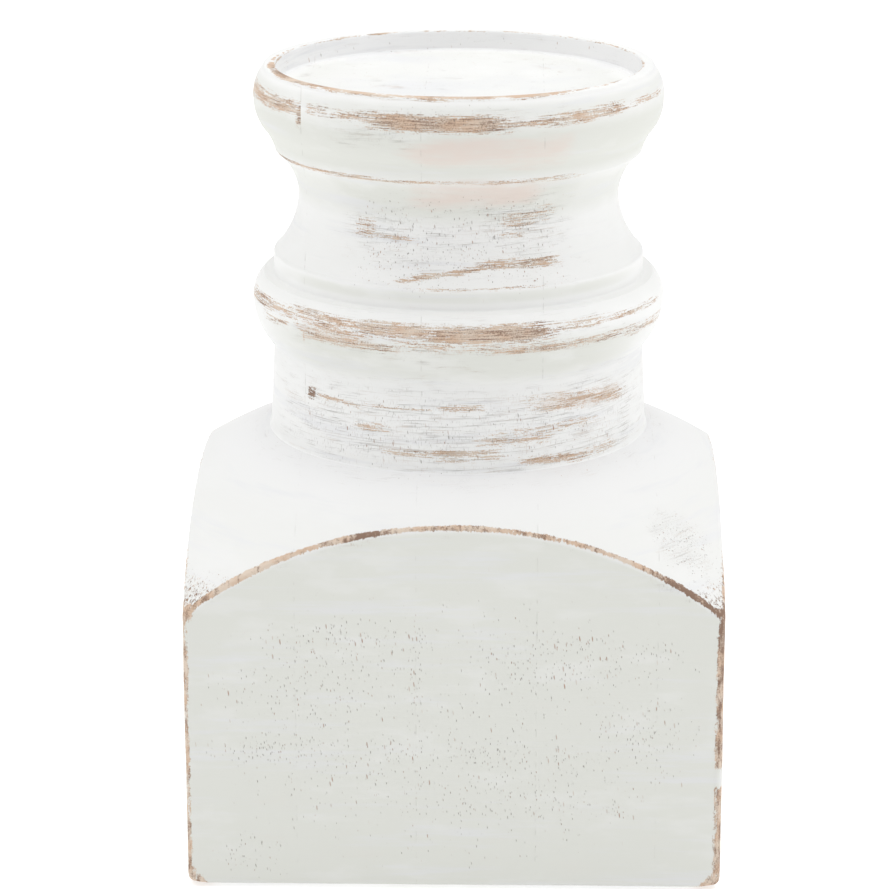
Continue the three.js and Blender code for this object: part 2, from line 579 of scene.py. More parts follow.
@dataclass(frozen=True)
class Timber:
    """The colours of wood that shows through paint, and of the dirt in it."""

    pale: Colour = paint_colour(211, 195, 179)
    warm: Colour = paint_colour(204, 178, 156)
    dark: Colour = paint_colour(136, 111, 95)
    rust: Colour = paint_colour(176, 124, 94)
    grime: Colour = paint_colour(140, 131, 124)


@dataclass(frozen=True)
class WornPaint:
    """White paint over open-grained wood, rubbed through where hands and sandpaper reach, with painted
    shade greying it where shade falls.
    """

    name: str
    white: Colour
    # The greenish grey that the paint is blended to for painted shade.
    aged: Colour
    wearing: Wearing
    raggedness: float
    level_scratches: float
    glue_shade: float
    stand: float
    seams: tuple[float, ...]
    timber: Timber = Timber()
    smudge: Colour = paint_colour(218, 219, 222)
    warm: Colour = paint_colour(216, 205, 197)
    film: float = 0.05  # thickness of the paint
    brush_relief: float = 0.03
    pore_depth: float = 0.14
    scratch_depth: float = 0.05
    scratch_opacity: float = 0.46
    edge_opacity: float = 0.42  # of the thinned paint round bare wood
    pore_opacity: float = 0.9

    def build(self, effects: Effects) -> bpy.types.Material:
        """Builds the material.

        Args:
            effects: The shared node groups.

        Returns:
            The finished material.
        """
        material, graph, shader = new_material(self.name)
        timber = self.timber
        streak, fleck, fibre = self.wearing.value
        point = effects.use(graph, effects.place, Stand=self.stand)["Point"]
        amount = {}
        for mark in Mark:
            amount[mark] = graph.add("ShaderNodeAttribute", attribute_name=mark.value).outputs["Fac"]
        rubbed = effects.use(
            graph,
            effects.rubbed,
            Point=point,
            Rub=amount[Mark.RUB],
            Streak=streak,
            Fleck=fleck,
            Raggedness=self.raggedness,
        )
        scratch = effects.use(
            graph,
            effects.scratches,
            Point=point,
            Density=amount[Mark.SCRATCH],
            Level_Share=self.level_scratches,
        )
        pores = effects.use(graph, effects.pores, Point=point, Density=amount[Mark.PORE])
        wood = effects.use(
            graph,
            effects.grain,
            Point=point,
            Streak=fibre,
            Pale=timber.pale,
            Warm=timber.warm,
            Dark=timber.dark,
            Darkness=amount[Mark.DARK],
        )
        coat = effects.use(
            graph,
            effects.coat,
            Point=point,
            White=self.white,
            Aged=self.aged,
            Smudge=self.smudge,
            Warm=self.warm,
            Age=amount[Mark.AGE],
            Thin=amount[Mark.THIN],
        )
        board = self.seams[1] - self.seams[0]
        glue = effects.use(
            graph,
            effects.glue_line,
            Point=point,
            First_Seam=self.seams[0],
            Board=board,
            Board_Count=len(self.seams) + 1.0,
        )["Line"]
        scratch_colour = graph.blend(graph.times(scratch["Tan"], 0.75), timber.grime, timber.warm)
        pore_colour = graph.blend(graph.times(pores["Brownness"], 0.9), timber.grime, timber.rust)
        scratched = graph.times(scratch["Scratch"], self.scratch_opacity)
        colour = graph.blend(scratched, coat["Colour"], scratch_colour)
        colour = graph.blend(graph.times(rubbed["Broken Edge"], self.edge_opacity), colour, wood["Colour"])
        colour = graph.blend(graph.times(glue, self.glue_shade), colour, timber.grime)
        colour = graph.blend(rubbed["Bare"], colour, wood["Colour"])
        colour = graph.blend(graph.times(pores["Pore"], self.pore_opacity), colour, pore_colour)
        graph.feed(shader.inputs["Base Color"], colour)
        graph.feed(shader.inputs["Roughness"], graph.step(rubbed["Bare"], 0, 1, (0.58, 0.8)))
        shader.inputs["Specular IOR Level"].default_value = 0.35
        dents = [
            (rubbed["Bare"], -self.film),
            (coat["Brush Marks"], self.brush_relief),
            (scratch["Scratch"], -self.scratch_depth),
            (pores["Pore"], -self.pore_depth),
            (graph.times(wood["Fibre"], rubbed["Bare"]), self.film),
            (glue, -self.film),
        ]
        height = graph.mixture(0.0, dents)
        graph.feed(shader.inputs["Normal"], graph.bump(height))
        return material


@dataclass(frozen=True)
class BareBeech:
    """Plain beech, for the dowel."""

    name: str
    pale: Colour
    warm: Colour
    dark: Colour

    def build(self, effects: Effects) -> bpy.types.Material:
        """Builds the material.

        Args:
            effects: The shared node groups.

        Returns:
            The finished material.
        """
        material, graph, shader = new_material(self.name)
        point = effects.use(graph, effects.place)["Point"]
        fibre = Wearing.UPRIGHT.value[2]
        wood = effects.use(
            graph,
            effects.grain,
            Point=point,
            Streak=fibre,
            Pale=self.pale,
            Warm=self.warm,
            Dark=self.dark,
            Darkness=0.25,
        )
        fleck = effects.use(graph, effects.pores, Point=point, Density=0.6)["Pore"]
        colour = graph.blend(graph.times(fleck, 0.6), wood["Colour"], self.dark)
        graph.feed(shader.inputs["Base Color"], colour)
        graph.feed(shader.inputs["Roughness"], graph.step(wood["Fibre"], 0.3, 0.7, (0.55, 0.75)))
        relief = graph.times(wood["Fibre"], 0.05)
        graph.feed(shader.inputs["Normal"], graph.bump(relief))
        return material


@dataclass(frozen=True)
class Felt:
    """Pressed wool felt, for the pads."""

    name: str
    light: Colour
    dark: Colour

    def build(self, effects: Effects) -> bpy.types.Material:
        """Builds the material.

        Args:
            effects: The shared node groups.

        Returns:
            The finished material.
        """
        material, graph, shader = new_material(self.name)
        point = effects.use(graph, effects.place)["Point"]
        tufts = graph.noise(point, (1.1, 1.1, 1.6), 7.0, 4.0)
        hairs = graph.noise(point, (4.5, 1.2, 5.0), 13.0, 3.0)
        crossing = graph.noise(point, (1.2, 4.5, 5.0), 17.0, 3.0)
        matted = graph.math("MAXIMUM", hairs, crossing)
        pile = graph.math("MULTIPLY_ADD", matted, 0.6, graph.times(tufts, 0.5))
        colour = graph.blend(graph.step(pile, 0.4, 0.75), self.dark, self.light)
        graph.feed(shader.inputs["Base Color"], colour)
        graph.feed(shader.inputs["Roughness"], graph.step(tufts, 0.3, 0.7, (0.9, 1.0)))
        shader.inputs["Sheen Weight"].default_value = 0.3
        height = graph.times(pile, 0.25)
        graph.feed(shader.inputs["Normal"], graph.bump(height))
        return material


@dataclass(frozen=True)
class Backdrop:
    """The plain pale floor, a white acrylic sheet lit softly from below."""

    name: str
    pale: Colour
    shade: Colour
    glow: float

    def build(self) -> bpy.types.Material:
        """Builds the material.

        Returns:
            The finished material.
        """
        material, graph, shader = new_material(self.name)
        local = graph.add("ShaderNodeTexCoord").outputs["Object"]
        mottle = graph.noise(local, (3.0, 3.0, 3.0), 1.0, 2.0)
        colour = graph.blend(graph.step(mottle, 0.3, 0.7), self.pale, self.shade)
        graph.feed(shader.inputs["Base Color"], colour)
        shader.inputs["Roughness"].default_value = 0.9
        shader.inputs["Emission Color"].default_value = (1.0, 1.0, 1.0, 1.0)
        shader.inputs["Emission Strength"].default_value = self.glow
        return material


# ---- Shapes ----


@dataclass
class Outline:
    """The section of a turned piece: radius and height in millimetres, from the axis and back to it."""

    spacing: float = 0.55
    points: list[tuple[float, float]] = field(default_factory=list)

    def start(self, radius: float, height: float) -> "Outline":
        """Sets the first point."""
        self.points = [(radius, height)]
        return self

    def line(self, radius: float, height: float, spacing: float | None = None) -> "Outline":
        """Adds a straight stretch.

        Args:
            radius: Where it ends.
            height: Where it ends.
            spacing: The distance between its points, if not the outline's own.

        Returns:
            The outline itself.
        """
        start, end = np.array(self.points[-1]), np.array((radius, height))
        count = max(1, round(float(np.linalg.norm(end - start)) / (spacing or self.spacing)))
        self.points += [tuple(start + (end - start) * (i + 1) / count) for i in range(count)]
        return self

    def arc(self, radius: float, height: float, rise: float) -> "Outline":
        """Adds a round stretch.

        Args:
            radius: Where it ends.
            height: Where it ends.
            rise: How far it swells away from the axis at its middle, negative for a hollow.

        Returns:
            The outline itself.
        """
        start, end = np.array(self.points[-1]), np.array((radius, height))
        chord = end - start
        half = float(np.linalg.norm(chord)) / 2
        curve = (half * half + rise * rise) / (2 * abs(rise))
        outward = np.array((chord[1], -chord[0])) / (2 * half) * math.copysign(1.0, rise)
        along = chord / (2 * half)
        centre = (start + end) / 2 + outward * (abs(rise) - curve)
        sweep = math.asin(min(1.0, half / curve))
        count = max(3, round(2 * sweep * curve / self.spacing))
        for i in range(count):
            turn = sweep * (2 * (i + 1) / count - 1)
            self.points.append(tuple(centre + (along * math.sin(turn) + outward * math.cos(turn)) * curve))
        return self

    def mesh(self, name: str, base: float) -> bpy.types.Mesh:
        """Makes a mesh of bare points from the outline.

        Args:
            name: The mesh's name.
            base: The height of the outline's zero above the table, in millimetres.

        Returns:
            A mesh with one point for each point of the outline, at (radius, 0, height) in metres.
        """
        mesh = bpy.data.meshes.new(name)
        places = [(radius * MM, 0.0, (height + base) * MM) for radius, height in self.points]
        mesh.from_pydata(places, [(i, i + 1) for i in range(len(places) - 1)], [])
        return mesh


class Lathe:
    """Turns outlines into solid pieces with one Geometry Nodes tree."""

    seam_width: float = 1e-6  # metres: the turned sheet's first and last column are one

    def __init__(self) -> None:
        """Builds the tree, which revolves the points that it is given about the Z axis."""
        inputs = [
            Socket("Geometry", "NodeSocketGeometry"),
            Socket("Facets", "NodeSocketInt", 360),
            Socket("Unevenness", value=0.0),
            Socket("Swell Length", value=0.02),
            Socket("Seed", value=0.0),
            Socket("Flutes", "NodeSocketInt", 0),
            Socket("Flute Share", value=0.0),
            Socket("Material", "NodeSocketMaterial"),
        ]
        outputs = [Socket("Geometry", "NodeSocketGeometry")]
        graph, given, taken = new_group("lathe", "GeometryNodeTree", inputs, outputs)
        graph.tree.is_modifier = True
        outline = {"Geometry": given["Geometry"]}
        count = graph.add("GeometryNodeAttributeDomainSize", outline).outputs["Point Count"]
        around = graph.whole("ADD", given["Facets"], 1)
        rows_and_columns = {"Vertices X": around, "Vertices Y": count}
        sheet = graph.add("GeometryNodeMeshGrid", rows_and_columns).outputs["Mesh"]
        index = graph.add("GeometryNodeInputIndex").outputs[0]
        column = graph.whole("DIVIDE_FLOOR", index, count)
        row = graph.whole("MODULO", index, count)
        share = graph.math("DIVIDE", graph.whole("MODULO", column, given["Facets"]), given["Facets"])
        turn = graph.times(share, 2 * math.pi)
        sample = graph.add("GeometryNodeSampleIndex", data_type="FLOAT_VECTOR", domain="POINT")
        graph.feed(sample.inputs["Geometry"], given["Geometry"])
        graph.feed(sample.inputs["Value"], graph.add("GeometryNodeInputPosition").outputs[0])
        graph.feed(sample.inputs["Index"], row)
        section = graph.add("ShaderNodeSeparateXYZ", {0: sample.outputs["Value"]})
        radius, height = section.outputs["X"], section.outputs["Z"]
        outward = graph.add("ShaderNodeCombineXYZ", {"X": graph.math("SINE", turn)}).outputs[0]
        front = graph.times(graph.math("COSINE", turn), -1.0)
        outward = graph.vector("ADD", outward, graph.add("ShaderNodeCombineXYZ", {"Y": front}).outputs[0])
        wave = graph.math("COSINE", graph.times(turn, given["Flutes"]))
        hollow = graph.math("POWER", graph.math("MAXIMUM", wave, 0.0), 2.0)
        hollow = graph.times(hollow, given["Flute Share"])
        radius = graph.times(radius, graph.math("SUBTRACT", 1.0, hollow))
        spot = graph.vector("SCALE", outward)
        graph.feed(spot.node.inputs["Scale"], radius)
        up = graph.add("ShaderNodeCombineXYZ", {"Z": height}).outputs[0]
        spot = graph.vector("ADD", spot, up)
        swell = graph.add(
            "ShaderNodeTexNoise",
            {
                "Vector": spot,
                "W": given["Seed"],
                "Detail": 2.0,
                "Scale": graph.math("DIVIDE", 1.0, given["Swell Length"]),
            },
            noise_dimensions="4D",
        ).outputs[0]
        swell = graph.times(graph.math("SUBTRACT", swell, 0.5), given["Unevenness"])
        swell = graph.times(swell, graph.step(radius, 0.0, 0.01))
        push = graph.vector("SCALE", outward)
        graph.feed(push.node.inputs["Scale"], swell)
        shape = graph.add(
            "GeometryNodeSetPosition", {"Geometry": sheet, "Position": spot, "Offset": push}
        ).outputs[0]
        for kind, values in (
            ("GeometryNodeMergeByDistance", {"Distance": self.seam_width}),
            ("GeometryNodeSetMaterial", {"Material": given["Material"]}),
            ("GeometryNodeRealizeInstances", {}),
        ):
            shape = graph.add(kind, {"Geometry": shape} | values).outputs[0]
        graph.feed(taken["Geometry"], shape)
        self.tree = graph.tree

    def turn(
        self, name: str, outline: Outline, base: float, material: bpy.types.Material, **inputs: float
    ) -> bpy.types.Mesh:
        """Turns one outline.

        Args:
            name: The new mesh's name.
            outline: Its section.
            base: The height of the outline's zero above the table, in millimetres.
            material: Its finish.
            **inputs: The tree's other inputs, with _ for a space in a name.

        Returns:
            The turned mesh, closed, with its faces pointing outwards.
        """
        blank = bpy.data.objects.new(f"{name}_blank", outline.mesh(f"{name}_outline", base))
        bpy.context.scene.collection.objects.link(blank)
        modifier = blank.modifiers.new("lathe", "NODES")
        modifier.node_group = self.tree
        settings = {key.replace("_", " "): value for key, value in inputs.items()} | {"Material": material}
        for item in self.tree.interface.items_tree:
            if item.in_out == "INPUT" and item.name in settings:
                modifier[item.identifier] = settings[item.name]
        graph = bpy.context.evaluated_depsgraph_get()
        mesh = bpy.data.meshes.new_from_object(blank.evaluated_get(graph), depsgraph=graph)
        mesh.name = name
        bpy.data.objects.remove(blank)
        return mesh


def ring_mesh(name: str, rings: np.ndarray) -> bpy.types.Mesh:
    """Joins closed rings of points into one closed skin.

    Args:
        name: The mesh's name.
        rings: Points in metres, as ring, place round the ring, and x, y, z. The first ring and the
            last are one spot each.

    Returns:
        The mesh.
    """
    count, around = rings.shape[:2]
    ring, place = np.meshgrid(np.arange(count - 1), np.arange(around), indexing="ij")
    after = (place + 1) % around
    start, below = ring * around, (ring + 1) * around
    faces = np.stack([start + place, start + after, below + after, below + place], -1)
    mesh = bpy.data.meshes.new(name)
    mesh.from_pydata(rings.reshape(-1, 3).tolist(), [], faces.reshape(-1, 4).tolist())
    return mesh


def take_up(mesh: bpy.types.Mesh) -> bmesh.types.BMesh:
    """Takes a mesh up as a shape that can be worked on, and removes the mesh.

    Args:
        mesh: The mesh.

    Returns:
        Its shape.
    """
    form = bmesh.new()
    form.from_mesh(mesh)
    bpy.data.meshes.remove(mesh)
    return form


def finish_mesh(form: bmesh.types.BMesh, name: str, material: bpy.types.Material) -> bpy.types.Object:
    """Makes an object of a shape: merged, faces outwards, smooth except at its sharp edges.

    Args:
        form: The shape, in metres, which is freed.
        name: The object's name.
        material: Its finish.

    Returns:
        The object, at the origin and in the scene.
    """
    bmesh.ops.remove_doubles(form, verts=form.verts, dist=SAME_SPOT)
    bmesh.ops.recalc_face_normals(form, faces=form.faces)
    for face in form.faces:
        face.smooth = True
        face.material_index = 0
    for edge in form.edges:
        edge.smooth = edge.calc_face_angle(0.0) < SHARP_ANGLE
    mesh = bpy.data.meshes.new(name)
    form.to_mesh(mesh)
    form.free()
    mesh.materials.clear()
    mesh.materials.append(material)
    piece = bpy.data.objects.new(name, mesh)
    bpy.context.scene.collection.objects.link(piece)
    return piece


def saw(whole: bpy.types.Mesh, left: float | None, right: float | None) -> bmesh.types.BMesh:
    """Cuts one upright board out of a blank.

    Args:
        whole: The blank.
        left: The board's left face, or None where it is the blank's own side.
        right: The board's right face, or None likewise.

    Returns:
        The closed board.
    """
    form = bmesh.new()
    form.from_mesh(whole)
    for place, away in ((left, -1.0), (right, 1.0)):
        if place is None:
            continue
        parts = form.verts[:] + form.edges[:] + form.faces[:]
        bmesh.ops.bisect_plane(
            form,
            geom=parts,
            dist=SAME_SPOT,
            plane_co=(place, 0, 0),
            plane_no=(away, 0, 0),
            clear_outer=True,
        )
        rim = [edge for edge in form.edges if edge.is_boundary]
        caps = bmesh.ops.holes_fill(form, edges=rim, sides=0)["faces"]
        bmesh.ops.triangulate(form, faces=caps)
    return form


def mark_mesh(mesh: bpy.types.Mesh, amounts: dict[Mark, np.ndarray]) -> None:
    """Writes the amounts of wear and painted shade at each point of a mesh.

    Args:
        mesh: The mesh.
        amounts: One number for each point, for each mark.
    """
    for mark, values in amounts.items():
        layer = mesh.attributes.new(mark.value, "FLOAT", "POINT")
        layer.data.foreach_set("value", np.clip(values, 0.0, 2.0).astype(np.float32))


def places_of(mesh: bpy.types.Mesh, base: float) -> np.ndarray:
    """Reads a mesh's points.

    Args:
        mesh: The mesh.
        base: The height of the block's underside above the table, in millimetres.

    Returns:
        One row of x, y and height above the underside for each point, in millimetres.
    """
    flat = np.empty(len(mesh.vertices) * 3, np.float32)
    mesh.vertices.foreach_get("co", flat)
    places = flat.reshape(-1, 3).astype(float) / MM
    places[:, 2] -= base
    return places


# ---- Sizes taken from the frame ----


@dataclass(frozen=True)
class FrameSizes:
    """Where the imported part's pieces are, in millimetres above the table."""

    half_width: float
    stand: float
    seat: float
    top: float
    column_seams: tuple[float, ...]
    block_seams: tuple[float, ...]

    @classmethod
    def measure(cls, places: tuple[str, ...]) -> "FrameSizes":
        """Reads the sizes.

        Args:
            places: The boards' places in the block, from left to right. The column has all but the last.

        Returns:
            The sizes.
        """

        def seams(kind: str, names: tuple[str, ...]) -> tuple[float, ...]:
            """Finds the middle of the gap between each board and the next."""
            boxes = [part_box(f"{kind}_board_{place}") for place in names]
            return tuple((a[1].x + b[0].x) / 2 / MM for a, b in zip(boxes, boxes[1:]))

        low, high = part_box("block_board_middle")
        return cls(
            half_width=high.y / MM,
            stand=low.z / MM,
            seat=high.z / MM,
            top=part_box("column_board_middle")[1].z / MM,
            column_seams=seams("column", places[:-1]),
            block_seams=seams("block", places),
        )

    @property
    def seat_height(self) -> float:
        """How high the neck's foot is above the block's underside."""
        return self.seat - self.stand

    @property
    def rim_height(self) -> float:
        """How high the rim is above the block's underside."""
        return self.top - self.stand


@dataclass(frozen=True)
class Joint:
    """Where the column stands on the block, glued to it with a dowel in a bore."""

    neck_radius: float = 41.6
    fillet: float = 0.3  # how far the paint spreads where the neck meets the dome
    bore_radius: float = 13.0
    bore_depth: float = 30.0  # in each of the two


# ---- Wear and painted shade round the turned column ----


@dataclass(frozen=True)
class Strip:
    """A strip of wear lying round a turned surface, fading out towards its rims and ends; some strips lay
    painted shade instead.
    """

    angle: float  # middle, in degrees round from the front, positive to the right
    reach: float  # half its length, in degrees
    height: float  # middle, above the block's underside
    spread: float  # half its height
    amount: float
    climb: float = 0.0  # how much higher its right end is than its middle
    board: str = ""  # the only board that it is on, where it stops at a glue line

    def amount_at(self, angle: np.ndarray, height: np.ndarray) -> np.ndarray:
        """Gives the wear at points on the surface.

        Args:
            angle: Their angles, in degrees.
            height: Their heights.

        Returns:
            The amount at each point.
        """
        away = (angle - self.angle + 180) % 360 - 180
        along = away / self.reach
        across = np.abs(height - self.height - self.climb * along) / self.spread
        return self.amount * smooth_step(1.75, 0.3, across) * smooth_step(1.15, 0.5, np.abs(along))


# Where the front of the column is rubbed through: cup, arris, fillet, bead and neck.
FRONT_RUBS = (
    Strip(-5, 23, 162.8, 1.5, 1.15, -0.2),
    Strip(-24, 18, 163.3, 1.1, 0.5),
    Strip(18, 14, 162.6, 0.45, 0.8, 0.2),
    Strip(38, 17, 163.1, 1.15, 0.74, 0.5),
    Strip(66, 14, 163.6, 0.7, 0.5),
    Strip(-66, 24, 163.1, 1.5, 0.76, -0.3, "left_outer"),
    Strip(-41, 5, 163.6, 1.0, 0.68),
    Strip(-47.6, 1.7, 161.8, 2.2, 0.8, 0.0, "left_outer"),
    Strip(-48, 34, 149.6, 0.4, 0.76),
    Strip(-10, 22, 149.5, 0.36, 0.56),
    Strip(24, 22, 149.5, 0.38, 0.6),
    Strip(-3, 17, 129.8, 0.55, 0.72, 1.7),
    Strip(22, 16, 131.4, 0.85, 0.74, -0.2),
    Strip(26, 12, 140.8, 1.6, 0.42, 0.8),
    Strip(19, 6, 137.6, 1.0, 0.36),
    Strip(-33, 5, 138.3, 1.8, 0.42),
    Strip(-26, 14, 136.3, 0.5, 0.55),
    Strip(7, 24, 127.0, 0.3, 0.4),
    Strip(-36, 18, 119.5, 0.8, 0.64, -0.3),
    Strip(-16, 13, 118.9, 1.3, 0.9),
    Strip(9, 20, 118.4, 1.6, 1.12, 0.1),
    Strip(33, 16, 118.9, 0.9, 0.55, 0.1),
    Strip(50, 30, 118.7, 0.6, 0.5),
    Strip(-30, 18, 115.1, 0.9, 0.74, -0.3),
    Strip(-36, 15, 117.2, 1.9, 0.5),
    Strip(0, 20, 116.0, 1.4, 0.4),
    Strip(32, 32, 115.0, 0.85, 0.66),
    Strip(66, 15, 114.4, 1.0, 0.5),
    Strip(-66, 22, 118.7, 1.1, 0.64, 0.4, "left_outer"),
    Strip(-60, 9, 116.0, 1.0, 0.46, 0.0, "left_outer"),
    Strip(-47.2, 1.5, 116.7, 3.0, 0.75, 0.0, "left"),
    Strip(-49.2, 2.2, 100.9, 1.2, 0.8, 0.0, "left"),
    Strip(-38, 10, 100.6, 0.5, 0.55, -0.4),
    Strip(-17, 12, 100.9, 0.3, 0.6),
    Strip(42, 24, 101.0, 1.7, 0.5, -1.2),
    Strip(34, 9, 100.4, 0.7, 0.6),
    Strip(2, 8, 101.6, 0.6, 0.6),
    Strip(-26, 7, 96.2, 0.8, 0.52),
    Strip(18, 14, 94.2, 1.3, 0.42),
    Strip(30, 20, 96.0, 1.0, 0.4),
    Strip(-4, 20, 91.6, 0.7, 0.66),
    Strip(4, 12, 90.9, 0.9, 0.52),
    Strip(29, 12, 89.2, 0.8, 0.68, -0.5),
    Strip(46, 12, 89.0, 1.0, 0.46, 0.6),
)
# Where it is scratched and cross-hatched without being bare.
FRONT_SCRATCHES = (
    Strip(-29, 17, 137.8, 3.6, 0.95),
    Strip(23, 17, 139.0, 6.0, 1.0),
    Strip(2, 54, 136.0, 7.5, 0.6),
    Strip(-4, 66, 117.2, 4.6, 0.6),
    Strip(2, 40, 163.4, 2.6, 0.62),
    Strip(-22, 18, 158.9, 2.4, 0.6),
    Strip(5, 88, 95.5, 10.0, 0.98),
    Strip(20, 40, 92.0, 6.0, 0.35),
    Strip(-6, 20, 111.6, 0.6, 0.7, -2.0),
)
# Where pores stay open.
FRONT_OPEN = (
    Strip(3, 40, 136.0, 8.0, 0.6),
    Strip(2, 60, 95.0, 8.0, 0.28),
    Strip(-8, 26, 163.2, 2.6, 0.3),
    Strip(-50, 1.7, 98.0, 5.5, 1.0),
)
# Where dirt has darkened the wood.
FRONT_DIRTY = (
    Strip(-49.2, 3.0, 100.9, 1.8, 0.9),
    Strip(-47.6, 1.2, 161.8, 3.0, 0.35),
    Strip(10, 20, 118.3, 1.3, 0.26),
    Strip(-5, 22, 162.8, 1.2, 0.12),
)
# Where the paint is thin, so that the wood's warmth shows through.
FRONT_THIN = (
    Strip(9, 30, 156.3, 3.6, 0.7),
    Strip(9, 27, 146.4, 3.2, 0.76),
    Strip(-34, 17, 117.2, 2.6, 0.5),
    Strip(42, 24, 101.0, 2.2, 0.6, -1.2),
)
# Painted shade, a greenish grey laid on the cup, in the cove, on the fillet and under the bead.
PAINTED_SHADE_STRIPS = (
    Strip(0, 360, 156.0, 6.0, 1.2),
    Strip(0, 80, 125.2, 1.3, 0.85),
    Strip(0, 360, 144.5, 5.0, 0.75),
    Strip(0, 360, 165.0, 1.6, 0.65),
    Strip(0, 62, 145.0, 5.0, 1.05),
    Strip(0, 75, 112.0, 5.0, 1.0),
)


# Two more bare spots on the rim, at the back and the right, placed by their angles alone.
RIM_SPOTS = (Strip(-146, 13, 0, 1, 0.25), Strip(80, 5, 0, 1, 0.4))
FRONT_REACH = 82.0  # degrees on either side that the front's own strips look after


@dataclass(frozen=True)
class Scatter:
    """Strips of wear scattered round the sides and back, about one height."""

    seed: int
    height: float  # their middle height
    drift: float  # how far each may be above or below it
    spread: float  # half their typical height
    amount: float  # their typical amount
    count: int

    def strips(self) -> list[Strip]:
        """Draws the strips.

        Returns:
            The strips.
        """
        draw = np.random.default_rng(self.seed)
        strips = []
        for _ in range(self.count):
            reach = draw.uniform(7, 26)
            angle = draw.uniform(FRONT_REACH + reach, 360 - FRONT_REACH - reach)
            height = self.height + draw.uniform(-self.drift, self.drift)
            spread = self.spread * draw.uniform(0.5, 1.2)
            amount = self.amount * draw.uniform(0.75, 1.1)
            strips.append(Strip(angle, reach, height, spread, amount, draw.uniform(-0.4, 0.4)))
        return strips


BACK_RUBS = (
    Scatter(3, 163.0, 0.7, 1.3, 1.0, 11),
    Scatter(4, 118.2, 1.2, 1.5, 1.0, 12),
    Scatter(5, 97.0, 7.0, 1.0, 0.8, 9),
    Scatter(6, 149.6, 0.2, 0.45, 0.8, 6),
)
BACK_SCRATCHES = (Scatter(7, 96.0, 5.0, 7.0, 0.9, 9), Scatter(8, 138.0, 3.0, 5.0, 0.9, 8))
BACK_THIN = (Scatter(9, 155.0, 3.0, 3.0, 0.7, 5), Scatter(10, 112.0, 3.0, 3.0, 0.6, 5))
BACK_OPEN = (Scatter(11, 136.0, 3.0, 7.0, 0.5, 6),)


